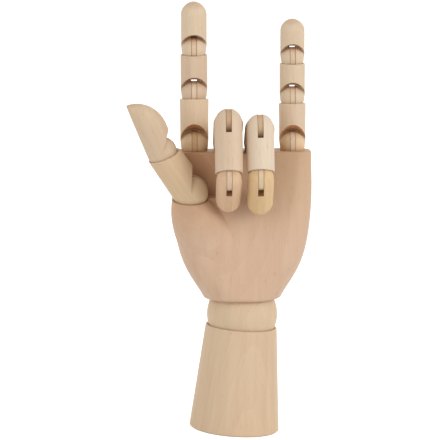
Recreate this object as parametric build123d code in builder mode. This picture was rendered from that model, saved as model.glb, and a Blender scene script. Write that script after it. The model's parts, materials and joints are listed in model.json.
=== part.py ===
"""A jointed wooden hand on a turned forearm, posed with two fingers up and two curled.

Every finger joint is built the same way: the outer piece ends in a ball that sits in a cup
of the inner piece, a flat wooden tongue glued in the cup reaches into a slot through the ball,
and a steel pin across the ball is the hinge. A notch on the palm side lets the joint close.
The wrist is a loose wooden ball between two cups, drawn together by a sprung rod.

The forearm stands on the XY plane, centred on Z. The palm faces -Y and the thumb is at -X.
"""

import os
from math import cos, radians, sin, sqrt, tan

from build123d import *

# Forearm, a turned cone that the hand stands on
FOREARM_HEIGHT = 60.0
FOREARM_BASE_RADIUS = 25.8
FOREARM_TOP_RADIUS = 20.5
FOREARM_EDGE = 0.8

# Wrist ball and its two cups
WRIST_BALL_RADIUS = 20.2
WRIST_GAP = 0.25
WRIST_LOWER_DROP = 7.0
WRIST_UPPER_RISE = 9.7
WRIST_LEAN = -4.2
WRIST_BEND_LIMIT = 11.0

# Sprung rod that draws the palm down on the wrist ball
ROD_RADIUS = 2.0
ROD_GRIP = 16.0
ROD_CLEARANCE = 0.35
ROD_FIT = 0.05
CUP_WALL = 5.0
SEAT_RADIUS = 5.0
SEAT_THICKNESS = 1.6
SEAT_GAP = 0.2
SPRING_WIRE_RADIUS = 0.5
SPRING_RADIUS = 3.3
SPRING_LENGTH = 9.0
SPRING_TURNS = 5
SPRING_SAMPLES = 200
WASHER_RADIUS = 4.4
WASHER_THICKNESS = 0.8
NUT_FLATS = 7.0
NUT_THICKNESS = 3.2
ROD_TAIL = 1.2
POCKET_RADIUS = 12.2

# Finger joints. A ratio is a share of the joint's ball radius.
CUP_GAP = 0.25
RIM_DROP_RATIO = 0.45
RIM_EDGE = 0.4
FINGER_FLARE = 0.25
THUMB_FLARE = 0.0
FLARE_RISE_RATIO = 0.35
NOTCH_RADIUS_RATIO = 1.13
NOTCH_START_RATIO = 0.12
NOTCH_TILT = 12.0
KNUCKLE_NOTCH_TILT = 19.0
THUMB_RELIEF_ANGLE = 52.0
THUMB_TIP_RIM_DROP_RATIO = 0.31
THUMB_TIP_RIM_TILT = 13.0
SLOT_END_RATIO = 1.04
SLOT_WIDTH = 3.25
TONGUE_THICKNESS = 3.1
TONGUE_REACH_RATIO = 0.95
TONGUE_TOP_RATIO = 0.92
KNUCKLE_TONGUE_REACH_RATIO = 1.0
KNUCKLE_TONGUE_TOP_RATIO = 0.985
TONGUE_TAIL_RATIO = 0.62
TONGUE_DEPTH = 4.2
MORTISE_GAP = 0.05
PIN_RADIUS = 1.0
PIN_FIT = 0.02
PIN_RUNNING_GAP = 0.05
PIN_INSET = 0.5
PIN_BLIND_RATIO = 0.72

# Finger tips
NAIL_ANGLE = 0.5
NAIL_STEP = 0.2
NAIL_START_RATIO = 0.44
TIP_BLUNT_RATIO = 0.12
FINGER_TIP_RATIO = 0.94
FINGER_TIP_LEAN_RATIO = 0.45
THUMB_TIP_RATIO = 2.1
THUMB_TIP_LEAN_RATIO = 1.0

# Palm, in its own frame with the wrist ball's centre as origin
KNUCKLE_HEIGHT = 97.5
KNUCKLE_PITCH_RATIO = 0.2336
KNUCKLE_STEPS = (-1.5, -0.5, 0.45, 1.5)
KNUCKLE_SHIFT = 1.1
PALM_TOP_WIDTH = 79.4
PALM_TOP_DEPTH = 22.5
PALM_TOP_CORNER = 9.5
PALM_EDGE = 1.2
PALM_FOOT_WIDTH = 44.0
PALM_FOOT_CORNER = 21.6
PALM_FOOT_EDGE = 2.4
# height as a share of the palm, then width, depth and corner radius
PALM_SECTIONS = [
    (0.11, 54.8, 40.5, 19.0),
    (0.23, 66.0, 37.0, 16.8),
    (0.43, 75.5, 32.5, 14.5),
    (0.67, 79.4, 28.0, 12.5),
    (0.85, 79.6, 25.0, 10.8),
]

# Thumb root on the palm, and the mound under it
THUMB_X_RATIO = -0.3703
THUMB_Y = -17.0
THUMB_Z = 72.5
THUMB_TILT = 12.0
THUMB_RIM_DROP_RATIO = 0.44
THUMB_WALL = 0.4
MOUND_WAIST_X = -19.5
MOUND_WAIST_Y = -8.0
MOUND_WAIST_Z = 46.0
MOUND_WAIST_WIDTH = 37.0
MOUND_WAIST_DEPTH = 24.0
MOUND_FOOT_X = -8.0
MOUND_FOOT_Y = -5.0
MOUND_FOOT_Z = 24.0
MOUND_FOOT_WIDTH = 38.0
MOUND_FOOT_DEPTH = 25.0
POCKET_GAP = 0.5
POCKET_RUN = 18.0

# Each finger: pivot to pivot lengths and last length to the tip, ball radii, rim radii,
# and the flexion of its joints in this pose, from the knuckle outwards
INDEX_LENGTHS = (29.4, 25.2, 26.6)
INDEX_BALLS = (7.8, 7.3, 7.0)
INDEX_RIMS = (8.2, 7.6)
INDEX_POSE = (-2.0, 7.0, 4.0)

MIDDLE_LENGTHS = (33.5, 32.5, 29.0)
MIDDLE_BALLS = (8.0, 7.6, 6.9)
MIDDLE_RIMS = (8.4, 7.7)
MIDDLE_POSE = (62.0, 97.0, 74.0)

RING_LENGTHS = (30.5, 28.8, 27.5)
RING_BALLS = (8.0, 7.6, 7.1)
RING_RIMS = (8.4, 7.7)
RING_POSE = (66.0, 94.0, 64.0)

LITTLE_LENGTHS = (26.4, 22.6, 22.0)
LITTLE_BALLS = (7.3, 6.9, 6.6)
LITTLE_RIMS = (7.6, 7.2)
LITTLE_POSE = (-2.0, 5.0, 3.0)

THUMB_LENGTHS = (28.9, 32.2)
THUMB_BALLS = (10.0, 8.5)
THUMB_RIMS = (9.3,)
THUMB_POSE = (-33.5, 11.8)

os.makedirs("parts", exist_ok=True)


def save(part, name, place=Location()):
    """Write one finished piece at its place in the assembly."""
    placed = part.moved(place)
    placed.label = name
    export_step(placed, f"parts/{name}.step")
    return placed


def finger_notch(ball, tilt):
    """A round pocket bored into the palm side of a ball end, where the cup's rim swings in."""
    ahead = Vector(0, -cos(radians(tilt)), sin(radians(tilt)))
    with BuildPart() as room:
        with BuildSketch(Plane(ahead * NOTCH_START_RATIO * ball, x_dir=(1, 0, 0), z_dir=ahead)):
            Circle(NOTCH_RADIUS_RATIO * ball)
        extrude(amount=2 * ball)
        Sphere(ball, mode=Mode.SUBTRACT)
    return room.part


def thumb_notch(ball, rise):
    """A flat relief on the palm side of a ball end, rising from the hinge to the front."""
    reach = 2 * ball
    with BuildPart() as room:
        with BuildSketch(Plane.YZ):
            with BuildLine():
                Polyline((0, 0), (-reach, -ball), (-reach, reach * tan(radians(rise))), close=True)
            make_face()
        extrude(amount=reach, both=True)
        Sphere(ball, mode=Mode.SUBTRACT)
    return room.part


def cut_hinge(ball, room):
    """Cut the notch's room, the slot and the pin hole into the ball end of the piece being built."""
    add(room, mode=Mode.SUBTRACT)
    slot_length = (1 + SLOT_END_RATIO) * ball
    with Locations((0, 0, SLOT_END_RATIO * ball - slot_length / 2)):
        Box(SLOT_WIDTH, 4 * ball, slot_length, mode=Mode.SUBTRACT)
    hole_start = -PIN_BLIND_RATIO * ball - PIN_FIT
    with Locations((hole_start + 2 * ball, 0, 0)):
        Cylinder(PIN_RADIUS + PIN_FIT, 4 * ball, rotation=(0, 90, 0), mode=Mode.SUBTRACT)


def cut_seat(ball, pivot_height):
    """Cut the cup and the tongue's mortise for the next joint into the piece being built."""
    floor = ball + CUP_GAP
    with Locations((0, 0, pivot_height)):
        Sphere(floor, mode=Mode.SUBTRACT)
    with Locations((0, 0, pivot_height - floor / 2 - TONGUE_DEPTH / 2)):
        Box(
            TONGUE_THICKNESS + 2 * MORTISE_GAP,
            2 * TONGUE_TAIL_RATIO * ball + 2 * MORTISE_GAP,
            floor + TONGUE_DEPTH,
            mode=Mode.SUBTRACT,
        )


def link(ball, flare, room, rim, length, next_ball, rim_drop, rim_tilt):
    """A finger piece with a ball at its root and a cup for the next piece at its top."""
    top = length - rim_drop * next_ball
    crest = top + rim * tan(radians(rim_tilt))
    with BuildPart() as piece:
        with BuildSketch(Plane.XZ):
            with BuildLine():
                RadiusArc((0, -ball), (ball, 0), -ball)
                Polyline(
                    (ball, 0),
                    (ball + flare, FLARE_RISE_RATIO * ball),
                    (rim, crest),
                    (0, crest),
                    (0, -ball),
                )
            make_face()
        revolve(axis=Axis.Z)
        if rim_tilt:
            with Locations(Pos(0, 0, top) * Rot(rim_tilt, 0, 0)):
                Box(4 * rim, 4 * rim, rim, align=(Align.CENTER, Align.CENTER, Align.MIN), mode=Mode.SUBTRACT)
        chamfer(piece.faces().sort_by(Axis.Z)[-1].edges(), RIM_EDGE)
        cut_hinge(ball, room)
        cut_seat(next_ball, length)
    return piece.part


def tip(ball, flare, room, length, tip_height, tip_lean):
    """A finger's last piece: its dome leans to the back of the finger, where a nail is cut flat."""
    dome = tip_height * ball
    start = length - dome
    radius = ball + flare
    with BuildPart() as piece:
        with BuildSketch(Plane.XZ):
            with BuildLine():
                RadiusArc((0, -ball), (ball, 0), -ball)
                Polyline((ball, 0), (radius, FLARE_RISE_RATIO * ball), (radius, start), (0, start), (0, -ball))
            make_face()
        revolve(axis=Axis.Z)
        for share in (1.0, 0.975, 0.92, 0.83, 0.70, 0.53, 0.33, TIP_BLUNT_RATIO):
            rise = dome * sqrt(1 - share**2)
            with BuildSketch(Plane.XY.offset(start + rise)):
                with Locations((0, tip_lean * radius * (1 - share))):
                    Circle(radius * share)
        loft()
        with BuildSketch(Plane.YZ):
            foot = NAIL_START_RATIO * length
            lean = (length - foot) * tan(radians(NAIL_ANGLE))
            with BuildLine():
                Polyline(
                    (radius - NAIL_STEP, foot),
                    (radius - NAIL_STEP - lean, length),
                    (2 * radius, length),
                    (2 * radius, foot),
                    close=True,
                )
            make_face()
        extrude(amount=2 * radius, both=True, mode=Mode.SUBTRACT)
        cut_hinge(ball, room)
    return piece.part


def tongue(ball, reach, top):
    """The flat tongue of one joint: a disc cut level at its top, with a tail for the mortise."""
    tail_end = ball + CUP_GAP + TONGUE_DEPTH
    with BuildPart() as plate:
        with BuildSketch(Plane.YZ):
            Circle(reach)
            with Locations((0, top + reach)):
                Rectangle(2 * reach, 2 * reach, mode=Mode.SUBTRACT)
            with Locations((0, -tail_end / 2)):
                Rectangle(2 * TONGUE_TAIL_RATIO * ball, tail_end - MORTISE_GAP)
            Circle(PIN_RADIUS + PIN_RUNNING_GAP, mode=Mode.SUBTRACT)
        extrude(amount=TONGUE_THICKNESS / 2, both=True)
    return plate.part


def pin(ball):
    """The steel hinge pin. Its hole is blind at one side and open at the other."""
    start = PIN_BLIND_RATIO * ball
    with BuildPart() as rod:
        with BuildSketch(Plane.YZ.offset(-start)):
            Circle(PIN_RADIUS)
        extrude(amount=start + ball - PIN_INSET)
    return rod.part


def build_finger(name, root, sizes, flare, notch, rises, rim_drop, rim_tilt, tip_height, tip_lean):
    """Build a finger piece by piece outwards from its root joint, and write every piece."""
    lengths, balls, rims, pose = sizes
    place = root
    labels = ("proximal", "middle", "distal")
    if len(lengths) == 2:
        labels = ("proximal", "distal")
    for number, label in enumerate(labels):
        ball = balls[number]
        room = notch(ball, rises[number])
        reach, top = (TONGUE_REACH_RATIO, TONGUE_TOP_RATIO)
        if number == 0:
            reach, top = (KNUCKLE_TONGUE_REACH_RATIO, KNUCKLE_TONGUE_TOP_RATIO)
        save(tongue(ball, reach * ball, top * ball), f"{name}_{label}_tongue", place)
        place = place * Rot(pose[number], 0, 0)
        save(pin(ball), f"{name}_{label}_pin", place)
        if number < len(rims):
            next_ball = balls[number + 1]
            piece = link(ball, flare, room, rims[number], lengths[number], next_ball, rim_drop, rim_tilt)
        else:
            piece = tip(ball, flare, room, lengths[number], tip_height, tip_lean)
        save(piece, f"{name}_{label}", place)
        place = place * Pos(0, 0, lengths[number])


# Places of the joints at rest
wrist_height = FOREARM_HEIGHT + WRIST_LOWER_DROP
wrist = Pos(0, 0, wrist_height)
hand = wrist * Rot(0, WRIST_LEAN, 0)

# Forearm: cone, wrist cup, flared way for the rod and the pocket that holds spring and nut
ceiling = WRIST_BALL_RADIUS + WRIST_GAP + CUP_WALL
flare_slope = tan(radians(WRIST_BEND_LIMIT))
way_radius = ROD_RADIUS + ROD_CLEARANCE + ceiling * flare_slope
with BuildPart() as forearm:
    with BuildSketch(Plane.XZ):
        with BuildLine():
            Polyline(
                (0, 0),
                (FOREARM_BASE_RADIUS - FOREARM_EDGE, 0),
                (FOREARM_BASE_RADIUS, FOREARM_EDGE),
                (FOREARM_TOP_RADIUS, FOREARM_HEIGHT - FOREARM_EDGE / 2),
                (FOREARM_TOP_RADIUS - FOREARM_EDGE / 2, FOREARM_HEIGHT),
                (0, FOREARM_HEIGHT),
                close=True,
            )
        make_face()
    revolve(axis=Axis.Z)
    with BuildSketch(Plane.XZ):
        Rectangle(POCKET_RADIUS, wrist_height, align=(Align.MIN, Align.MIN))
        with Locations((0, wrist_height)):
            Circle(ceiling, mode=Mode.SUBTRACT)
    revolve(axis=Axis.Z, mode=Mode.SUBTRACT)
    with Locations((0, 0, wrist_height - ceiling / 2)):
        Cylinder(way_radius, ceiling, mode=Mode.SUBTRACT)
    with Locations((0, 0, wrist_height)):
        Sphere(WRIST_BALL_RADIUS + WRIST_GAP, mode=Mode.SUBTRACT)
save(forearm.part, "forearm")

# Wrist ball, bored like an hourglass so that the rod can lean in it
waist = ROD_RADIUS + ROD_CLEARANCE
mouth = waist + WRIST_BALL_RADIUS * flare_slope
with BuildPart() as wrist_ball:
    Sphere(WRIST_BALL_RADIUS)
    with BuildSketch(Plane.XZ):
        with BuildLine():
            Polyline(
                (0, -WRIST_BALL_RADIUS),
                (mouth, -WRIST_BALL_RADIUS),
                (waist, 0),
                (mouth, WRIST_BALL_RADIUS),
                (0, WRIST_BALL_RADIUS),
                close=True,
            )
        make_face()
    revolve(axis=Axis.Z, mode=Mode.SUBTRACT)
save(wrist_ball.part, "wrist_ball", wrist)

# Rod and what is threaded on it below the forearm's cup, in the palm's frame
seat_top = ceiling + SEAT_GAP
seat_foot = seat_top + SEAT_THICKNESS
washer_top = seat_foot + SPRING_LENGTH
nut_top = washer_top + WASHER_THICKNESS
rod_foot = nut_top + NUT_THICKNESS + ROD_TAIL
rod_head = WRIST_BALL_RADIUS + WRIST_GAP + ROD_GRIP
with BuildPart() as wrist_rod:
    with BuildSketch(Plane.XY.offset(-rod_foot)):
        Circle(ROD_RADIUS)
    extrude(amount=rod_foot + rod_head)
save(wrist_rod.part, "wrist_rod", hand)

with BuildPart() as spring_seat:
    with BuildSketch(Plane.XY.offset(-seat_foot)):
        Circle(SEAT_RADIUS)
        Circle(ROD_RADIUS + ROD_FIT, mode=Mode.SUBTRACT)
    extrude(amount=seat_foot)
    Sphere(seat_top, mode=Mode.SUBTRACT)
save(spring_seat.part, "spring_seat", hand)

spring_pitch = (SPRING_LENGTH - 2 * SPRING_WIRE_RADIUS - 2 * SEAT_GAP) / SPRING_TURNS
spring_foot = -(washer_top - SPRING_WIRE_RADIUS - SEAT_GAP)
with BuildPart() as wrist_spring:
    with BuildLine():
        coil = Helix(spring_pitch, spring_pitch * SPRING_TURNS, SPRING_RADIUS, center=(0, 0, spring_foot))
    with BuildSketch(Plane(coil @ 0, z_dir=coil % 0)):
        Circle(SPRING_WIRE_RADIUS)
    sweep(path=coil, is_frenet=True)
samples = [coil @ (step / SPRING_SAMPLES) for step in range(SPRING_SAMPLES + 1)]
half_turn = SPRING_SAMPLES // (2 * SPRING_TURNS)
nearest = min(
    (first - second).length
    for place, first in enumerate(samples)
    for second in samples[place + half_turn :]
)
print(f"wrist spring, least gap between its turns: {nearest - 2 * SPRING_WIRE_RADIUS:.2f} mm")
save(wrist_spring.part, "wrist_spring", hand)

with BuildPart() as wrist_washer:
    with BuildSketch(Plane.XY.offset(-nut_top)):
        Circle(WASHER_RADIUS)
        Circle(ROD_RADIUS + ROD_FIT, mode=Mode.SUBTRACT)
    extrude(amount=WASHER_THICKNESS)
save(wrist_washer.part, "wrist_washer", hand)

with BuildPart() as wrist_nut:
    with BuildSketch(Plane.XY.offset(-nut_top - NUT_THICKNESS)):
        RegularPolygon(NUT_FLATS / 2, 6, major_radius=False)
        Circle(ROD_RADIUS + ROD_FIT, mode=Mode.SUBTRACT)
    extrude(amount=NUT_THICKNESS)
save(wrist_nut.part, "wrist_nut", hand)

# Palm: a lofted block with a mound for the thumb, cups for wrist ball, fingers and thumb,
# and a cut-back behind the thumb that gives it room to swing
knuckle_pitch = KNUCKLE_PITCH_RATIO * PALM_TOP_WIDTH
knuckles = [KNUCKLE_SHIFT + knuckle_pitch * step for step in KNUCKLE_STEPS]
knuckle_balls = (INDEX_BALLS[0], MIDDLE_BALLS[0], RING_BALLS[0], LITTLE_BALLS[0])
palm_top = KNUCKLE_HEIGHT - RIM_DROP_RATIO * min(knuckle_balls)
palm_height = palm_top - WRIST_UPPER_RISE
thumb_ball = THUMB_BALLS[0]
thumb_root = Pos(THUMB_X_RATIO * PALM_TOP_WIDTH, THUMB_Y, THUMB_Z) * Rot(THUMB_TILT, 0, 0) * Rot(0, 0, 90)
thumb_drop = THUMB_RIM_DROP_RATIO * thumb_ball
thumb_room = thumb_ball + POCKET_GAP
with BuildPart() as palm:
    with BuildSketch(Plane.XY.offset(WRIST_UPPER_RISE)):
        RectangleRounded(PALM_FOOT_WIDTH, PALM_FOOT_WIDTH, PALM_FOOT_CORNER)
    for share, width, depth, corner in PALM_SECTIONS:
        with BuildSketch(Plane.XY.offset(WRIST_UPPER_RISE + share * palm_height)):
            RectangleRounded(width, depth, corner)
    with BuildSketch(Plane.XY.offset(palm_top)):
        RectangleRounded(PALM_TOP_WIDTH, PALM_TOP_DEPTH, PALM_TOP_CORNER)
    loft()
    fillet(palm.faces().sort_by(Axis.Z)[-1].edges(), PALM_EDGE)
    fillet(palm.faces().sort_by(Axis.Z)[0].edges(), PALM_FOOT_EDGE)
    with BuildSketch(Plane(thumb_root * Pos(0, 0, -thumb_drop))):
        Ellipse(thumb_room, POCKET_RUN)
        Rectangle(2 * thumb_room, 3 * thumb_room, align=(Align.CENTER, Align.MIN))
    extrude(amount=4 * thumb_room, mode=Mode.SUBTRACT)
    with BuildSketch(Plane(thumb_root * Pos(0, 0, -thumb_drop) * Rot(0, 0, -90))):
        Circle(thumb_ball + THUMB_WALL)
    with BuildSketch(Plane(Pos(MOUND_WAIST_X, MOUND_WAIST_Y, MOUND_WAIST_Z))):
        Ellipse(MOUND_WAIST_WIDTH / 2, MOUND_WAIST_DEPTH / 2)
    with BuildSketch(Plane(Pos(MOUND_FOOT_X, MOUND_FOOT_Y, MOUND_FOOT_Z))):
        Ellipse(MOUND_FOOT_WIDTH / 2, MOUND_FOOT_DEPTH / 2)
    loft()
    Sphere(WRIST_BALL_RADIUS + WRIST_GAP, mode=Mode.SUBTRACT)
    with BuildSketch(Plane.XY):
        Circle(ROD_RADIUS + ROD_FIT)
    extrude(amount=rod_head + ROD_CLEARANCE, mode=Mode.SUBTRACT)
    for x, ball in zip(knuckles, knuckle_balls):
        with Locations((x, 0, 0)):
            cut_seat(ball, KNUCKLE_HEIGHT)
    with Locations(thumb_root):
        cut_seat(thumb_ball, 0)
save(palm.part, "palm", hand)

FINGERS = [
    ("index", (INDEX_LENGTHS, INDEX_BALLS, INDEX_RIMS, INDEX_POSE)),
    ("middle", (MIDDLE_LENGTHS, MIDDLE_BALLS, MIDDLE_RIMS, MIDDLE_POSE)),
    ("ring", (RING_LENGTHS, RING_BALLS, RING_RIMS, RING_POSE)),
    ("little", (LITTLE_LENGTHS, LITTLE_BALLS, LITTLE_RIMS, LITTLE_POSE)),
]
for x, (name, sizes) in zip(knuckles, FINGERS):
    build_finger(
        name,
        hand * Pos(x, 0, KNUCKLE_HEIGHT),
        sizes,
        FINGER_FLARE,
        finger_notch,
        (KNUCKLE_NOTCH_TILT, NOTCH_TILT, NOTCH_TILT),
        RIM_DROP_RATIO,
        0,
        FINGER_TIP_RATIO,
        FINGER_TIP_LEAN_RATIO,
    )

build_finger(
    "thumb",
    hand * thumb_root,
    (THUMB_LENGTHS, THUMB_BALLS, THUMB_RIMS, THUMB_POSE),
    THUMB_FLARE,
    thumb_notch,
    (THUMB_RELIEF_ANGLE, THUMB_RELIEF_ANGLE),
    THUMB_TIP_RIM_DROP_RATIO,
    THUMB_TIP_RIM_TILT,
    THUMB_TIP_RATIO,
    THUMB_TIP_LEAN_RATIO,
)
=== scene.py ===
import json
import math

import bpy
from mathutils import Matrix, Vector


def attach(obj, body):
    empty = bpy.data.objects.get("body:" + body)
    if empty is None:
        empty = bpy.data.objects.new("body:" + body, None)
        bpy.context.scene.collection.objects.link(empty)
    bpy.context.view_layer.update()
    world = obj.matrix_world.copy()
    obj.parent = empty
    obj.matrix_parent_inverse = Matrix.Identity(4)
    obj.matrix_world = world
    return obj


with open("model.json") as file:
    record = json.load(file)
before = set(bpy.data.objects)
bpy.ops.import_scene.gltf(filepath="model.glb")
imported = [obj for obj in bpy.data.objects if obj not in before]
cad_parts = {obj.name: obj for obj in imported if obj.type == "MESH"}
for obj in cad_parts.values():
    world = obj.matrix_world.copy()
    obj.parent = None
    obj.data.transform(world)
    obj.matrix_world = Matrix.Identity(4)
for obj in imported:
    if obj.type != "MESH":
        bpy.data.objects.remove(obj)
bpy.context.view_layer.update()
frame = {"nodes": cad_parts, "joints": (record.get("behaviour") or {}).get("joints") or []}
nodes = frame["nodes"]
pivots = {joint["child"]: Vector(joint["pos_m"]) for joint in frame["joints"]}
bpy.ops.object.select_all(action="DESELECT")

# The forearm is one turned cone of pale, fine-grained hardwood, sanded and left bare.
# Its grain runs up the cone, so the shared wood pattern is built here, for the first piece
# that shows it: broad streaks, growth rings, fine fibres, short flecks and darker end grain,
# with painted shade for the notches, the slot ends and the balls of the joints.
pale_wood = bpy.data.node_groups.new("pale_wood", "ShaderNodeTree")
for name, kind in (
    ("Place", "NodeSocketVector"),
    ("Surface", "NodeSocketVector"),
    ("Grain", "NodeSocketVector"),
    ("Wood", "NodeSocketColor"),
    ("Streak", "NodeSocketColor"),
    ("Rubbed", "NodeSocketColor"),
    ("Bored", "NodeSocketColor"),
    ("Slot", "NodeSocketColor"),
    ("Ball Height", "NodeSocketFloat"),
    ("Streak Depth", "NodeSocketFloat"),
    ("Ring Depth", "NodeSocketFloat"),
    ("Fleck Depth", "NodeSocketFloat"),
):
    pale_wood.interface.new_socket(name, in_out="INPUT", socket_type=kind)
for name, kind in (
    ("Color", "NodeSocketColor"),
    ("Roughness", "NodeSocketFloat"),
    ("Height", "NodeSocketFloat"),
):
    pale_wood.interface.new_socket(name, in_out="OUTPUT", socket_type=kind)

wood_in = pale_wood.nodes.new("NodeGroupInput")
wood_out = pale_wood.nodes.new("NodeGroupOutput")

# broad streaks, some millimetres wide and as long as the piece
streak_stretch = 0.045
streak_scale = 170.0
streak_start, streak_full = 0.34, 0.70
streak_run = pale_wood.nodes.new("ShaderNodeVectorMath")
streak_run.operation = "MULTIPLY"
streak_run.inputs[1].default_value = (1.0, 1.0, streak_stretch)
streaks = pale_wood.nodes.new("ShaderNodeTexNoise")
streaks.inputs["Scale"].default_value = streak_scale
streaks.inputs["Detail"].default_value = 5.0
streaks.inputs["Roughness"].default_value = 0.62
streak_mask = pale_wood.nodes.new("ShaderNodeMapRange")
streak_mask.inputs["From Min"].default_value = streak_start
streak_mask.inputs["From Max"].default_value = streak_full
pale_wood.links.new(wood_in.outputs["Place"], streak_run.inputs[0])
pale_wood.links.new(streak_run.outputs["Vector"], streaks.inputs["Vector"])
pale_wood.links.new(streaks.outputs["Fac"], streak_mask.inputs["Value"])

# growth rings, cut lengthwise, so that they show as lines along the piece; the middle of the
# tree lies some centimetres beside it
tree_middle = (0.031, -0.047, 0.0)
ring_scale = 92.0
ring_waver = 1.6
ring_shift = pale_wood.nodes.new("ShaderNodeVectorMath")
ring_shift.operation = "ADD"
ring_shift.inputs[1].default_value = tree_middle
rings = pale_wood.nodes.new("ShaderNodeTexWave")
rings.wave_type = "RINGS"
rings.rings_direction = "Z"
rings.wave_profile = "SAW"
rings.inputs["Scale"].default_value = ring_scale
rings.inputs["Distortion"].default_value = ring_waver
rings.inputs["Detail"].default_value = 2.0
rings.inputs["Detail Scale"].default_value = 1.2
pale_wood.links.new(streak_run.outputs["Vector"], ring_shift.inputs[0])
pale_wood.links.new(ring_shift.outputs["Vector"], rings.inputs["Vector"])

# fine fibres, a fraction of a millimetre wide
fibre_stretch = 0.03
fibre_scale = 1500.0
fibre_depth = 0.20
fibre_run = pale_wood.nodes.new("ShaderNodeVectorMath")
fibre_run.operation = "MULTIPLY"
fibre_run.inputs[1].default_value = (1.0, 1.0, fibre_stretch)
fibres = pale_wood.nodes.new("ShaderNodeTexNoise")
fibres.inputs["Scale"].default_value = fibre_scale
fibres.inputs["Detail"].default_value = 3.0
pale_wood.links.new(wood_in.outputs["Place"], fibre_run.inputs[0])
pale_wood.links.new(fibre_run.outputs["Vector"], fibres.inputs["Vector"])

# short brown flecks, a few millimetres long
fleck_stretch = 0.16
fleck_scale = 1250.0
fleck_start, fleck_full = 0.64, 0.74
fleck_tone = (0.24, 0.12, 0.055)
fleck_run = pale_wood.nodes.new("ShaderNodeVectorMath")
fleck_run.operation = "MULTIPLY"
fleck_run.inputs[1].default_value = (1.0, 1.0, fleck_stretch)
flecks = pale_wood.nodes.new("ShaderNodeTexNoise")
flecks.inputs["Scale"].default_value = fleck_scale
flecks.inputs["Detail"].default_value = 1.0
fleck_mask = pale_wood.nodes.new("ShaderNodeMapRange")
fleck_mask.inputs["From Min"].default_value = fleck_start
fleck_mask.inputs["From Max"].default_value = fleck_full
pale_wood.links.new(wood_in.outputs["Place"], fleck_run.inputs[0])
pale_wood.links.new(fleck_run.outputs["Vector"], flecks.inputs["Vector"])
pale_wood.links.new(flecks.outputs["Fac"], fleck_mask.inputs["Value"])

# end grain, where the surface lies across the grain
end_grain_start = 0.72
end_grain_depth = 0.30
end_grain_tone = (0.430, 0.215, 0.095)
across = pale_wood.nodes.new("ShaderNodeVectorMath")
across.operation = "DOT_PRODUCT"
across_size = pale_wood.nodes.new("ShaderNodeMath")
across_size.operation = "ABSOLUTE"
end_mask = pale_wood.nodes.new("ShaderNodeMapRange")
end_mask.inputs["From Min"].default_value = end_grain_start
end_mask.inputs["From Max"].default_value = 1.0
end_mask.inputs["To Max"].default_value = end_grain_depth
pale_wood.links.new(wood_in.outputs["Surface"], across.inputs[0])
pale_wood.links.new(wood_in.outputs["Grain"], across.inputs[1])
pale_wood.links.new(across.outputs["Value"], across_size.inputs[0])
pale_wood.links.new(across_size.outputs["Value"], end_mask.inputs["Value"])

# the bored notch and the end of the slot, which face down to the ball's centre from above it,
# carry painted warm shade
notch_shade_start, notch_shade_full = -0.45, -0.92
notch_shade_depth = 0.85
place_parts = pale_wood.nodes.new("ShaderNodeSeparateXYZ")
above_ball = pale_wood.nodes.new("ShaderNodeMath")
above_ball.operation = "SUBTRACT"
notch_shade_side = pale_wood.nodes.new("ShaderNodeMath")
notch_shade_side.operation = "GREATER_THAN"
notch_shade_side.inputs[1].default_value = 0.0
notch_shade_face = pale_wood.nodes.new("ShaderNodeMapRange")
notch_shade_face.inputs["From Min"].default_value = notch_shade_start
notch_shade_face.inputs["From Max"].default_value = notch_shade_full
notch_shade_face.inputs["To Max"].default_value = notch_shade_depth
notch_shade_mask = pale_wood.nodes.new("ShaderNodeMath")
notch_shade_mask.operation = "MULTIPLY"
pale_wood.links.new(wood_in.outputs["Place"], place_parts.inputs["Vector"])
pale_wood.links.new(place_parts.outputs["Z"], above_ball.inputs[0])
pale_wood.links.new(wood_in.outputs["Ball Height"], above_ball.inputs[1])
pale_wood.links.new(above_ball.outputs["Value"], notch_shade_side.inputs[0])
pale_wood.links.new(across.outputs["Value"], notch_shade_face.inputs["Value"])
pale_wood.links.new(notch_shade_side.outputs["Value"], notch_shade_mask.inputs[0])
pale_wood.links.new(notch_shade_face.outputs["Result"], notch_shade_mask.inputs[1])

# fine specks of open end grain break up the painted shade on the cut faces
notch_shade_speck_low, notch_shade_speck_high = 0.35, 0.65
notch_shade_speck_most, notch_shade_speck_least = 1.12, 0.78
notch_shade_specks = pale_wood.nodes.new("ShaderNodeMapRange")
notch_shade_specks.inputs["From Min"].default_value = notch_shade_speck_low
notch_shade_specks.inputs["From Max"].default_value = notch_shade_speck_high
notch_shade_specks.inputs["To Min"].default_value = notch_shade_speck_most
notch_shade_specks.inputs["To Max"].default_value = notch_shade_speck_least
notch_shade_share = pale_wood.nodes.new("ShaderNodeMath")
notch_shade_share.operation = "MULTIPLY"
pale_wood.links.new(fibres.outputs["Fac"], notch_shade_specks.inputs["Value"])
pale_wood.links.new(notch_shade_mask.outputs["Value"], notch_shade_share.inputs[0])
pale_wood.links.new(notch_shade_specks.outputs["Result"], notch_shade_share.inputs[1])

# the end of the slot, which faces straight down, has painted shade of its own
slot_end_full = -0.988
in_slot = pale_wood.nodes.new("ShaderNodeMath")
in_slot.operation = "LESS_THAN"
in_slot.inputs[1].default_value = slot_end_full
painted_cut_shade = pale_wood.nodes.new("ShaderNodeMix")
painted_cut_shade.data_type = "RGBA"
pale_wood.links.new(across.outputs["Value"], in_slot.inputs[0])
pale_wood.links.new(in_slot.outputs["Value"], painted_cut_shade.inputs["Factor"])
pale_wood.links.new(wood_in.outputs["Bored"], painted_cut_shade.inputs["A"])
pale_wood.links.new(wood_in.outputs["Slot"], painted_cut_shade.inputs["B"])

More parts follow.
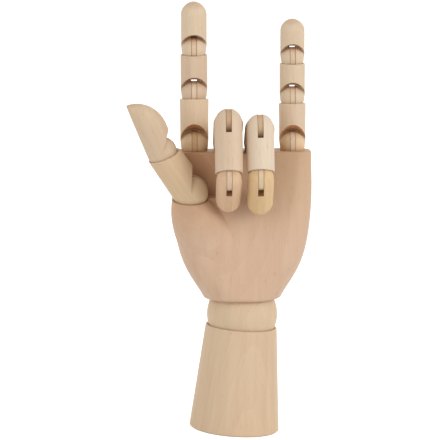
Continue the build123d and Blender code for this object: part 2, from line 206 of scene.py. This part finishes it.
# the ball itself, in the cup that it turns in, carries painted warm shade, which fades out above it
ball_shade_fade_top = 0.010
ball_shade_fade_foot = 0.005
ball_shade_mask = pale_wood.nodes.new("ShaderNodeMapRange")
ball_shade_mask.inputs["From Min"].default_value = ball_shade_fade_top
ball_shade_mask.inputs["From Max"].default_value = ball_shade_fade_foot
ball_shaded = pale_wood.nodes.new("ShaderNodeMix")
ball_shaded.data_type = "RGBA"
pale_wood.links.new(above_ball.outputs["Value"], ball_shade_mask.inputs["Value"])
pale_wood.links.new(ball_shade_mask.outputs["Result"], ball_shaded.inputs["Factor"])
pale_wood.links.new(wood_in.outputs["Wood"], ball_shaded.inputs["A"])
pale_wood.links.new(wood_in.outputs["Rubbed"], ball_shaded.inputs["B"])

# the shares of streaks, rings and fibres added up, then end grain, the painted shade of the notch and
# slot, and flecks on top
streak_share = pale_wood.nodes.new("ShaderNodeMath")
streak_share.operation = "MULTIPLY"
pale_wood.links.new(streak_mask.outputs["Result"], streak_share.inputs[0])
pale_wood.links.new(wood_in.outputs["Streak Depth"], streak_share.inputs[1])
ring_share = pale_wood.nodes.new("ShaderNodeMath")
ring_share.operation = "MULTIPLY_ADD"
pale_wood.links.new(rings.outputs["Fac"], ring_share.inputs[0])
pale_wood.links.new(wood_in.outputs["Ring Depth"], ring_share.inputs[1])
pale_wood.links.new(streak_share.outputs["Value"], ring_share.inputs[2])
fibre_share = pale_wood.nodes.new("ShaderNodeMath")
fibre_share.operation = "MULTIPLY_ADD"
fibre_share.inputs[1].default_value = fibre_depth
pale_wood.links.new(fibres.outputs["Fac"], fibre_share.inputs[0])
pale_wood.links.new(ring_share.outputs["Value"], fibre_share.inputs[2])
grain_share = pale_wood.nodes.new("ShaderNodeClamp")
pale_wood.links.new(fibre_share.outputs["Value"], grain_share.inputs["Value"])

grained = pale_wood.nodes.new("ShaderNodeMix")
grained.data_type = "RGBA"
pale_wood.links.new(grain_share.outputs["Result"], grained.inputs["Factor"])
pale_wood.links.new(ball_shaded.outputs["Result"], grained.inputs["A"])
pale_wood.links.new(wood_in.outputs["Streak"], grained.inputs["B"])
ended = pale_wood.nodes.new("ShaderNodeMix")
ended.data_type = "RGBA"
ended.inputs["B"].default_value = (*end_grain_tone, 1.0)
pale_wood.links.new(end_mask.outputs["Result"], ended.inputs["Factor"])
pale_wood.links.new(grained.outputs["Result"], ended.inputs["A"])
notch_shaded = pale_wood.nodes.new("ShaderNodeMix")
notch_shaded.data_type = "RGBA"
pale_wood.links.new(notch_shade_share.outputs["Value"], notch_shaded.inputs["Factor"])
pale_wood.links.new(ended.outputs["Result"], notch_shaded.inputs["A"])
pale_wood.links.new(painted_cut_shade.outputs["Result"], notch_shaded.inputs["B"])
fleck_share = pale_wood.nodes.new("ShaderNodeMath")
fleck_share.operation = "MULTIPLY"
pale_wood.links.new(fleck_mask.outputs["Result"], fleck_share.inputs[0])
pale_wood.links.new(wood_in.outputs["Fleck Depth"], fleck_share.inputs[1])
flecked = pale_wood.nodes.new("ShaderNodeMix")
flecked.data_type = "RGBA"
flecked.inputs["B"].default_value = (*fleck_tone, 1.0)
pale_wood.links.new(fleck_share.outputs["Value"], flecked.inputs["Factor"])
pale_wood.links.new(notch_shaded.outputs["Result"], flecked.inputs["A"])
pale_wood.links.new(flecked.outputs["Result"], wood_out.inputs["Color"])

# dark grain and end grain are duller than the sanded wood, and fibres and flecks lie lower
sanded_dullness = 0.50
open_grain_dullness = 0.66
end_rough = pale_wood.nodes.new("ShaderNodeMath")
end_rough.operation = "ADD"
end_rough.use_clamp = True
pale_wood.links.new(grain_share.outputs["Result"], end_rough.inputs[0])
pale_wood.links.new(end_mask.outputs["Result"], end_rough.inputs[1])
dull = pale_wood.nodes.new("ShaderNodeMapRange")
dull.inputs["To Min"].default_value = sanded_dullness
dull.inputs["To Max"].default_value = open_grain_dullness
pale_wood.links.new(end_rough.outputs["Value"], dull.inputs["Value"])
pale_wood.links.new(dull.outputs["Result"], wood_out.inputs["Roughness"])
pores = pale_wood.nodes.new("ShaderNodeMath")
pores.operation = "SUBTRACT"
pale_wood.links.new(fibres.outputs["Fac"], pores.inputs[0])
pale_wood.links.new(fleck_share.outputs["Value"], pores.inputs[1])
pale_wood.links.new(pores.outputs["Value"], wood_out.inputs["Height"])

# bare wood has little gloss and hardly any relief; a piece without a ball is given a ball
# height above everything, so that no face of it gets the painted shade of a notch
bare_wood_gloss = 0.32
relief_strength = 0.12
relief_depth = 0.0003
no_ball = 1.0


def wood_finish(
    name, tone, streak, place, turn, depths,
    ball_shade_tone=None, notch_shade_tone=None, slot_shade_tone=None, ball_height=no_ball,
):
    """Bare wood whose grain follows the piece's own axis, with its ball where it has one.

    depths are how strongly the streaks, the rings and the flecks show.
    """
    finish = bpy.data.materials.new(name)
    finish.use_nodes = True
    tree = finish.node_tree
    shader = tree.nodes["Principled BSDF"]
    shader.inputs["Specular IOR Level"].default_value = bare_wood_gloss
    spot = tree.nodes.new("ShaderNodeTexCoord")
    along = tree.nodes.new("ShaderNodeMapping")
    along.vector_type = "TEXTURE"
    along.inputs["Location"].default_value = place
    along.inputs["Rotation"].default_value = turn.to_euler("XYZ")
    wood = tree.nodes.new("ShaderNodeGroup")
    wood.node_tree = pale_wood
    wood.inputs["Grain"].default_value = turn @ Vector((0, 0, 1))
    wood.inputs["Wood"].default_value = (*tone, 1.0)
    wood.inputs["Streak"].default_value = (*streak, 1.0)
    wood.inputs["Rubbed"].default_value = (*(ball_shade_tone or tone), 1.0)
    wood.inputs["Bored"].default_value = (*(notch_shade_tone or tone), 1.0)
    wood.inputs["Slot"].default_value = (*(slot_shade_tone or tone), 1.0)
    wood.inputs["Ball Height"].default_value = ball_height
    for depth_name, depth in zip(("Streak Depth", "Ring Depth", "Fleck Depth"), depths):
        wood.inputs[depth_name].default_value = depth
    relief = tree.nodes.new("ShaderNodeBump")
    relief.inputs["Strength"].default_value = relief_strength
    relief.inputs["Distance"].default_value = relief_depth
    tree.links.new(spot.outputs["Object"], along.inputs["Vector"])
    tree.links.new(along.outputs["Vector"], wood.inputs["Place"])
    tree.links.new(spot.outputs["Normal"], wood.inputs["Surface"])
    tree.links.new(wood.outputs["Color"], shader.inputs["Base Color"])
    tree.links.new(wood.outputs["Roughness"], shader.inputs["Roughness"])
    tree.links.new(wood.outputs["Height"], relief.inputs["Height"])
    tree.links.new(relief.outputs["Normal"], shader.inputs["Normal"])
    return finish


upright = Matrix.Identity(3)
forearm_tone = (0.668, 0.506, 0.340)
forearm_streak = (0.560, 0.375, 0.235)
forearm_stick = (0.013, 0.004, 0.0)
forearm_depths = (0.40, 0.14, 0.11)
nodes["forearm"].material_slots[0].material = wood_finish(
    "forearm_wood", forearm_tone, forearm_streak, forearm_stick, upright, forearm_depths
)

# The wrist ball is turned from the same wood, a loose ball that shows as a band between
# the forearm and the palm. It is cut from another stick, so its streaks are its own.
ball_tone = (0.675, 0.514, 0.348)
ball_streak = (0.570, 0.400, 0.250)
ball_stick = (-0.021, 0.032, 0.067)
turned_depths = (0.36, 0.16, 0.14)
nodes["wrist_ball"].material_slots[0].material = wood_finish(
    "wrist_ball_wood", ball_tone, ball_streak, ball_stick, upright, turned_depths
)

# A zinc plated steel rod draws the palm down on the ball. It carries a dished seat, a coil
# spring, a washer and a nut, which show only in the pocket under the forearm.


def steel_finish(name, stretch, scale, detail, tones, dullness):
    """Bare metal whose brightness and dullness vary in one fine pattern."""
    finish = bpy.data.materials.new(name)
    finish.use_nodes = True
    tree = finish.node_tree
    shader = tree.nodes["Principled BSDF"]
    shader.inputs["Metallic"].default_value = 1.0
    spot = tree.nodes.new("ShaderNodeTexCoord")
    drawn = tree.nodes.new("ShaderNodeMapping")
    drawn.inputs["Scale"].default_value = stretch
    pattern = tree.nodes.new("ShaderNodeTexNoise")
    pattern.inputs["Scale"].default_value = scale
    pattern.inputs["Detail"].default_value = detail
    colour = tree.nodes.new("ShaderNodeMix")
    colour.data_type = "RGBA"
    colour.inputs["A"].default_value = (*tones[0], 1.0)
    colour.inputs["B"].default_value = (*tones[1], 1.0)
    dull = tree.nodes.new("ShaderNodeMapRange")
    dull.inputs["To Min"].default_value = dullness[0]
    dull.inputs["To Max"].default_value = dullness[1]
    tree.links.new(spot.outputs["Object"], drawn.inputs["Vector"])
    tree.links.new(drawn.outputs["Vector"], pattern.inputs["Vector"])
    tree.links.new(pattern.outputs["Fac"], colour.inputs["Factor"])
    tree.links.new(pattern.outputs["Fac"], dull.inputs["Value"])
    tree.links.new(colour.outputs["Result"], shader.inputs["Base Color"])
    tree.links.new(dull.outputs["Result"], shader.inputs["Roughness"])
    return finish


zinc_tones = ((0.46, 0.47, 0.48), (0.66, 0.66, 0.64))
zinc_dullness = (0.28, 0.48)
zinc_bloom_stretch = (1.0, 1.0, 1.0)
zinc_bloom_scale = 700.0
zinc_bloom_detail = 4.0
zinc = steel_finish(
    "zinc_plated_steel", zinc_bloom_stretch, zinc_bloom_scale, zinc_bloom_detail, zinc_tones, zinc_dullness
)
for name in ("wrist_rod", "spring_seat", "wrist_spring", "wrist_washer", "wrist_nut"):
    nodes[name].material_slots[0].material = zinc

# The palm is carved from one block, a little pinker than the rest, with its grain
# running from wrist to knuckles. Painted shade makes it browner towards the knuckles, and
# painted warm shade makes it redder high up towards the thumb. It leans slightly to the
# thumb's side on the ball.
palm_lean = Matrix.Rotation(math.radians(-4.2), 3, "Y")
palm_tone = (0.640, 0.450, 0.315)
palm_streak = (0.500, 0.305, 0.195)
palm_top_shade_tone = (0.560, 0.370, 0.215)
palm_corner_shade_tone = (0.575, 0.310, 0.160)
palm_stick = Vector((0.017, 0.009, 0.0))
palm_depths = (0.30, 0.12, 0.14)
palm_rise_start, palm_rise_full = 0.045, 0.095
palm_side_start, palm_side_full = -0.014, -0.030
palm_front_start, palm_front_full = -0.012, -0.018


def grain_nodes(finish):
    """The nodes of a wood finish that place its grain and that paint it."""
    along = next(node for node in finish.node_tree.nodes if node.type == "MAPPING")
    wood = next(node for node in finish.node_tree.nodes if node.type == "GROUP")
    return along, wood


palm_wood = wood_finish(
    "palm_wood", palm_tone, palm_streak, pivots["palm"] + palm_stick, palm_lean, palm_depths
)
palm_tree = palm_wood.node_tree
palm_along, palm_group = grain_nodes(palm_wood)
# painted shade makes the palm browner towards the knuckles
palm_parts = palm_tree.nodes.new("ShaderNodeSeparateXYZ")
palm_rise = palm_tree.nodes.new("ShaderNodeMapRange")
palm_rise.inputs["From Min"].default_value = palm_rise_start
palm_rise.inputs["From Max"].default_value = palm_rise_full
palm_shade = palm_tree.nodes.new("ShaderNodeMix")
palm_shade.data_type = "RGBA"
palm_shade.inputs["A"].default_value = (*palm_tone, 1.0)
palm_shade.inputs["B"].default_value = (*palm_top_shade_tone, 1.0)
palm_tree.links.new(palm_along.outputs["Vector"], palm_parts.inputs["Vector"])
palm_tree.links.new(palm_parts.outputs["Z"], palm_rise.inputs["Value"])
palm_tree.links.new(palm_rise.outputs["Result"], palm_shade.inputs["Factor"])

# painted warm shade in the corner, high up, on the thumb's side and on the front only
palm_side = palm_tree.nodes.new("ShaderNodeMapRange")
palm_side.inputs["From Min"].default_value = palm_side_start
palm_side.inputs["From Max"].default_value = palm_side_full
palm_front = palm_tree.nodes.new("ShaderNodeMapRange")
palm_front.inputs["From Min"].default_value = palm_front_start
palm_front.inputs["From Max"].default_value = palm_front_full
palm_high_thumb_side = palm_tree.nodes.new("ShaderNodeMath")
palm_high_thumb_side.operation = "MULTIPLY"
palm_corner_shade_mask = palm_tree.nodes.new("ShaderNodeMath")
palm_corner_shade_mask.operation = "MULTIPLY"
palm_corner_shaded = palm_tree.nodes.new("ShaderNodeMix")
palm_corner_shaded.data_type = "RGBA"
palm_corner_shaded.inputs["B"].default_value = (*palm_corner_shade_tone, 1.0)
palm_tree.links.new(palm_parts.outputs["X"], palm_side.inputs["Value"])
palm_tree.links.new(palm_parts.outputs["Y"], palm_front.inputs["Value"])
palm_tree.links.new(palm_side.outputs["Result"], palm_high_thumb_side.inputs[0])
palm_tree.links.new(palm_rise.outputs["Result"], palm_high_thumb_side.inputs[1])
palm_tree.links.new(palm_high_thumb_side.outputs["Value"], palm_corner_shade_mask.inputs[0])
palm_tree.links.new(palm_front.outputs["Result"], palm_corner_shade_mask.inputs[1])
palm_tree.links.new(palm_corner_shade_mask.outputs["Value"], palm_corner_shaded.inputs["Factor"])
palm_tree.links.new(palm_shade.outputs["Result"], palm_corner_shaded.inputs["A"])
for tone_name in ("Wood", "Rubbed"):
    palm_tree.links.new(palm_corner_shaded.outputs["Result"], palm_group.inputs[tone_name])
nodes["palm"].material_slots[0].material = palm_wood

# The fingers are turned pieces of the same wood, each cut from another stick, so that
# every piece has its own tone and streaks. Listed from the knuckle to the tip, with how far
# each piece is turned from the palm's own direction, in degrees.
finger_pieces = {
    "index_proximal": (-2, (0.740, 0.570, 0.400), (0.600, 0.425, 0.270)),
    "index_middle": (5, (0.680, 0.515, 0.370), (0.545, 0.375, 0.245)),
    "index_distal": (9, (0.705, 0.555, 0.395), (0.590, 0.430, 0.285)),
    "middle_proximal": (62, (0.670, 0.505, 0.355), (0.530, 0.365, 0.240)),
    "middle_middle": (159, (0.690, 0.535, 0.390), (0.570, 0.410, 0.270)),
    "middle_distal": (233, (0.700, 0.490, 0.315), (0.550, 0.345, 0.205)),
    "ring_proximal": (66, (0.680, 0.520, 0.370), (0.540, 0.375, 0.245)),
    "ring_middle": (160, (0.738, 0.612, 0.468), (0.620, 0.468, 0.328)),
    "ring_distal": (224, (0.725, 0.520, 0.290), (0.590, 0.380, 0.190)),
    "little_proximal": (-2, (0.685, 0.530, 0.380), (0.560, 0.395, 0.260)),
    "little_middle": (3, (0.690, 0.550, 0.395), (0.570, 0.420, 0.275)),
    "little_distal": (6, (0.690, 0.545, 0.390), (0.575, 0.420, 0.275)),
}

# the balls of two fingers carry painted warm shade, and so do the bored notches; the painted
# shade at the ends of the slots of the curled fingers is darker than in the notches
painted_ball_shade = {
    "index_proximal": (0.800, 0.575, 0.335),
    "little_proximal": (0.780, 0.550, 0.330),
}
painted_notch_shade = (0.575, 0.265, 0.100)
curled_slot_shade = (0.300, 0.135, 0.055)
finger_stick_side = 0.013
finger_stick_back = 0.017
finger_stick_step = 0.05
finger_side_turn, finger_back_turn = 2.1, 1.3
for number, (name, (turned, tone, streak)) in enumerate(finger_pieces.items()):
    turn = palm_lean @ Matrix.Rotation(math.radians(turned), 3, "X")
    stick = Vector((
        finger_stick_side * math.sin(finger_side_turn * number),
        finger_stick_back * math.cos(finger_back_turn * number),
        finger_stick_step * number,
    ))
    curled = name.startswith(("middle", "ring"))
    nodes[name].material_slots[0].material = wood_finish(
        f"{name}_wood", tone, streak, pivots[name] + turn @ stick, turn, turned_depths,
        painted_ball_shade.get(name), painted_notch_shade, curled_slot_shade if curled else painted_notch_shade, -stick.z,
    )

# The thumb's two pieces stand on the mound of the palm and fold across it, so they are
# turned about another axis. The lower one is the yellower of the two.
thumb_tilt = Matrix.Rotation(math.radians(12.0), 3, "X")
thumb_facing = Matrix.Rotation(math.radians(90.0), 3, "Z")
thumb_stand = palm_lean @ thumb_tilt @ thumb_facing
thumb_stick = Vector((0.019, 0.0, 0.0))
thumb_stick_step = Vector((0.0, -0.011, 0.04))
thumb_pieces = {
    "thumb_proximal": (-33.5, (0.680, 0.505, 0.325), (0.545, 0.370, 0.210)),
    "thumb_distal": (-21.7, (0.660, 0.505, 0.352), (0.535, 0.375, 0.240)),
}
for number, (name, (turned, tone, streak)) in enumerate(thumb_pieces.items()):
    turn = thumb_stand @ Matrix.Rotation(math.radians(turned), 3, "X")
    stick = thumb_stick + thumb_stick_step * number
    nodes[name].material_slots[0].material = wood_finish(
        f"{name}_wood", tone, streak, pivots[name] + turn @ stick, turn, turned_depths
    )

# Thin wooden tongues fill the slots of the joints and show as a strip in the middle of
# every ball. They are sawn from thin boards of mixed tone, and painted shade draws a dark
# line along both of their edges, where the gap to the slot lies.
tongue_half = 0.00155
tongue_line = 0.00018
tongue_tone = (0.660, 0.490, 0.330)
tongue_streak = (0.470, 0.310, 0.190)
tongue_depths = (0.40, 0.18, 0.14)
tongue_gap_shade = (0.240, 0.110, 0.045)
tongue_gap_shade_depth = 0.72
tongue_stick_back = 0.006
tongue_stick_step = 0.03
tongue_back_turn = 1.7
tongue_tones = {
    "index_proximal": (0.720, 0.440, 0.240),
    "index_middle": (0.800, 0.640, 0.460),
    "index_distal": (0.720, 0.540, 0.370),
    "middle_middle": (0.540, 0.355, 0.215),
    "middle_distal": (0.740, 0.565, 0.410),
    "ring_middle": (0.600, 0.430, 0.255),
    "ring_distal": (0.730, 0.575, 0.375),
    "little_proximal": (0.800, 0.610, 0.430),
    "little_middle": (0.760, 0.590, 0.420),
    "little_distal": (0.740, 0.570, 0.400),
}
for number, name in enumerate(joint["child"] for joint in frame["joints"]):
    if f"{name}_tongue" not in nodes:
        continue
    turn = thumb_stand if name.startswith("thumb") else palm_lean
    stick = Vector((
        0.0,
        tongue_stick_back * math.cos(tongue_back_turn * number),
        tongue_stick_step * number,
    ))
    tongue_wood = wood_finish(
        f"{name}_tongue_wood", tongue_tones.get(name, tongue_tone), tongue_streak,
        pivots[name] + turn @ stick, turn, tongue_depths,
    )
    tongue_tree = tongue_wood.node_tree
    tongue_along, tongue_group = grain_nodes(tongue_wood)
    tongue_shader = tongue_tree.nodes["Principled BSDF"]
    tongue_parts = tongue_tree.nodes.new("ShaderNodeSeparateXYZ")
    # a line of painted shade along both edges of the tongue
    tongue_side = tongue_tree.nodes.new("ShaderNodeMath")
    tongue_side.operation = "ABSOLUTE"
    tongue_gap_shade_mask = tongue_tree.nodes.new("ShaderNodeMapRange")
    tongue_gap_shade_mask.inputs["From Min"].default_value = tongue_half - 2 * tongue_line
    tongue_gap_shade_mask.inputs["From Max"].default_value = tongue_half - tongue_line
    tongue_gap_shade_mask.inputs["To Max"].default_value = tongue_gap_shade_depth
    tongue_gap_shaded = tongue_tree.nodes.new("ShaderNodeMix")
    tongue_gap_shaded.data_type = "RGBA"
    tongue_gap_shaded.inputs["B"].default_value = (*tongue_gap_shade, 1.0)
    tongue_tree.links.new(tongue_along.outputs["Vector"], tongue_parts.inputs["Vector"])
    tongue_tree.links.new(tongue_parts.outputs["X"], tongue_side.inputs[0])
    tongue_tree.links.new(tongue_side.outputs["Value"], tongue_gap_shade_mask.inputs["Value"])
    tongue_tree.links.new(tongue_gap_shade_mask.outputs["Result"], tongue_gap_shaded.inputs["Factor"])
    tongue_tree.links.new(tongue_group.outputs["Color"], tongue_gap_shaded.inputs["A"])
    tongue_tree.links.new(tongue_gap_shaded.outputs["Result"], tongue_shader.inputs["Base Color"])
    nodes[f"{name}_tongue"].material_slots[0].material = tongue_wood

# The saw cut of a slot runs out towards the back of the piece. At three joints it stops
# short of the back and leaves a small web of wood, so that no light shows through. The web's
# lower edge is rounded, clear of the tongue.
web_width = 0.00322
web_front_ratio = 0.72
web_back_ratio = 0.90
slot_end_ratio = 1.04
web_round = 0.0005
web_round_steps = 4

# the ball's radius, and how high the web's lower edge stands as a share of it
web_joints = {
    "index_proximal": (0.0078, 0.880),
    "index_distal": (0.0070, 0.700),
    "little_proximal": (0.0073, 0.880),
}
for name, (ball, foot_ratio) in web_joints.items():
    web_depth = (web_back_ratio - web_front_ratio) * ball
    web_height = (slot_end_ratio - foot_ratio) * ball
    web_middle = (
        0.0,
        (web_back_ratio + web_front_ratio) * ball / 2,
        (slot_end_ratio + foot_ratio) * ball / 2,
    )
    bpy.ops.object.select_all(action="DESELECT")
    bpy.ops.mesh.primitive_cube_add(size=1.0)
    web = bpy.context.object
    web.name = f"{name}_slot_web"
    bpy.ops.object.mode_set(mode="EDIT")
    bpy.ops.transform.resize(value=(web_width, web_depth, web_height))
    bpy.ops.mesh.select_all(action="DESELECT")
    bpy.ops.object.mode_set(mode="OBJECT")
    for edge in web.data.edges:
        ends = [web.data.vertices[index].co for index in edge.vertices]
        edge.select = all(end.y < 0 and end.z < 0 for end in ends)
    bpy.ops.object.mode_set(mode="EDIT")
    bpy.ops.mesh.select_mode(type="EDGE")
    bpy.ops.mesh.bevel(offset=web_round, segments=web_round_steps)
    bpy.ops.mesh.select_all(action="SELECT")
    bpy.ops.transform.translate(value=web_middle)
    bpy.ops.object.mode_set(mode="OBJECT")
    turn = palm_lean @ Matrix.Rotation(math.radians(finger_pieces[name][0]), 3, "X")
    web.matrix_world = Matrix.Translation(pivots[name]) @ turn.to_4x4()
    bpy.ops.object.transform_apply(location=True, rotation=True, scale=True)
    web.data.materials.append(nodes[name].material_slots[0].material)
    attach(web, name)

# Steel pins cross the balls and their tongues, and each joint turns on one. They are cut
# from drawn wire and pushed in from one side, so only their ends show.
pin_tones = ((0.42, 0.42, 0.42), (0.60, 0.59, 0.58))
pin_dullness = (0.30, 0.45)
pin_line_stretch = (0.05, 1.0, 1.0)
pin_line_scale = 6000.0
pin_line_detail = 2.0
pin_steel = steel_finish(
    "pin_steel", pin_line_stretch, pin_line_scale, pin_line_detail, pin_tones, pin_dullness
)
for name, node in nodes.items():
    if name.endswith("_pin"):
        node.material_slots[0].material = pin_steel

# The floor is plain white board. It keeps a soft shadow under the forearm, and its own
# white shows to the camera and in the steel.
floor_size = 24.0
floor_middle = (0.0, 4.0, 0.0)
floor_tone = (0.86, 0.86, 0.86)
floor_dullness = 0.9
floor_own_white = 0.62
bpy.ops.mesh.primitive_plane_add(size=floor_size, location=floor_middle)
floor = bpy.context.object
floor.name = "floor"


def seen_straight(tree):
    """One where the camera, a gloss or glass looks at it, zero where it only gives light."""
    ray = tree.nodes.new("ShaderNodeLightPath")
    seen = tree.nodes.new("ShaderNodeMath")
    seen.operation = "MAXIMUM"
    seen_all = tree.nodes.new("ShaderNodeMath")
    seen_all.operation = "MAXIMUM"
    tree.links.new(ray.outputs["Is Camera Ray"], seen.inputs[0])
    tree.links.new(ray.outputs["Is Glossy Ray"], seen.inputs[1])
    tree.links.new(seen.outputs["Value"], seen_all.inputs[0])
    tree.links.new(ray.outputs["Is Transmission Ray"], seen_all.inputs[1])
    return seen_all.outputs["Value"]


floor_white = bpy.data.materials.new("floor_white")
floor_white.use_nodes = True
floor_tree = floor_white.node_tree
floor_shader = floor_tree.nodes["Principled BSDF"]
floor_shader.inputs["Base Color"].default_value = (*floor_tone, 1.0)
floor_shader.inputs["Roughness"].default_value = floor_dullness
floor_shader.inputs["Specular IOR Level"].default_value = 0.0
floor_end = floor_tree.nodes["Material Output"]
floor_lift = floor_tree.nodes.new("ShaderNodeMath")
floor_lift.operation = "MULTIPLY"
floor_lift.inputs[1].default_value = floor_own_white
floor_glow = floor_tree.nodes.new("ShaderNodeEmission")
floor_both = floor_tree.nodes.new("ShaderNodeAddShader")
floor_tree.links.new(seen_straight(floor_tree), floor_lift.inputs[0])
floor_tree.links.new(floor_lift.outputs["Value"], floor_glow.inputs["Strength"])
floor_tree.links.new(floor_shader.outputs["BSDF"], floor_both.inputs[0])
floor_tree.links.new(floor_glow.outputs["Emission"], floor_both.inputs[1])
floor_tree.links.new(floor_both.outputs["Shader"], floor_end.inputs["Surface"])
floor.data.materials.append(floor_white)

# White surroundings, as of a small photo studio, give an even fill from all sides, and show
# as plain white behind the hand.
world_fill_level = 0.70
world_seen_level = 1.0
world = bpy.data.worlds.new("white_room")
bpy.context.scene.world = world
world.use_nodes = True
world_tree = world.node_tree
world_fill = world_tree.nodes["Background"]
world_fill.inputs["Color"].default_value = (1.0, 1.0, 1.0, 1.0)
world_level = world_tree.nodes.new("ShaderNodeMapRange")
world_level.inputs["To Min"].default_value = world_fill_level
world_level.inputs["To Max"].default_value = world_seen_level
world_tree.links.new(seen_straight(world_tree), world_level.inputs["Value"])
world_tree.links.new(world_level.outputs["Result"], world_fill.inputs["Strength"])

# A large soft lamp stands to the right in front, above the hand, and two weaker ones to the
# left and behind.
hand_middle = Vector((-0.016, 0.0, 0.12))
for name, spot, size, power in (
    ("key_lamp", Vector((1.40, -1.00, 0.90)), 0.9, 13.0),
    ("fill_lamp", Vector((-1.3, -1.2, 0.7)), 1.3, 7.0),
    ("back_lamp", Vector((0.5, 1.7, 0.7)), 1.3, 6.0),
):
    lamp = bpy.data.objects.new(name, bpy.data.lights.new(name, "AREA"))
    lamp.data.size = size
    lamp.data.energy = power
    lamp.location = spot
    lamp.rotation_euler = (hand_middle - spot).to_track_quat("-Z", "Y").to_euler()
    bpy.context.scene.collection.objects.link(lamp)

# The camera stands far off in front, a little above and to the left, and is rolled
# so that the palm is upright and the forearm leans, as in the photograph.
eye_distance = 1.3479
eye_up = math.radians(7.866)
eye_side = math.radians(1.958)
eye_roll = math.radians(3.965)
eye_lens = 193.18
eye_sensor = 36.0
eye_reach = 60.0
looked_at = Vector((-0.016355, 0.0, 0.120133))
ahead = Vector((
    math.sin(eye_side) * math.cos(eye_up),
    math.cos(eye_side) * math.cos(eye_up),
    -math.sin(eye_up),
))
level_right = ahead.cross(Vector((0, 0, 1))).normalized()
level_up = level_right.cross(ahead)
right = level_right * math.cos(eye_roll) + level_up * math.sin(eye_roll)
up = level_up * math.cos(eye_roll) - level_right * math.sin(eye_roll)
camera = bpy.data.objects.new("camera", bpy.data.cameras.new("camera"))
camera.data.lens = eye_lens
camera.data.sensor_width = eye_sensor
camera.data.clip_end = eye_reach
stand = Matrix((right, up, -ahead)).transposed().to_4x4()
stand.translation = looked_at - ahead * eye_distance
camera.matrix_world = stand
bpy.context.scene.collection.objects.link(camera)
bpy.context.scene.camera = camera
bpy.context.scene.view_settings.view_transform = "Standard"
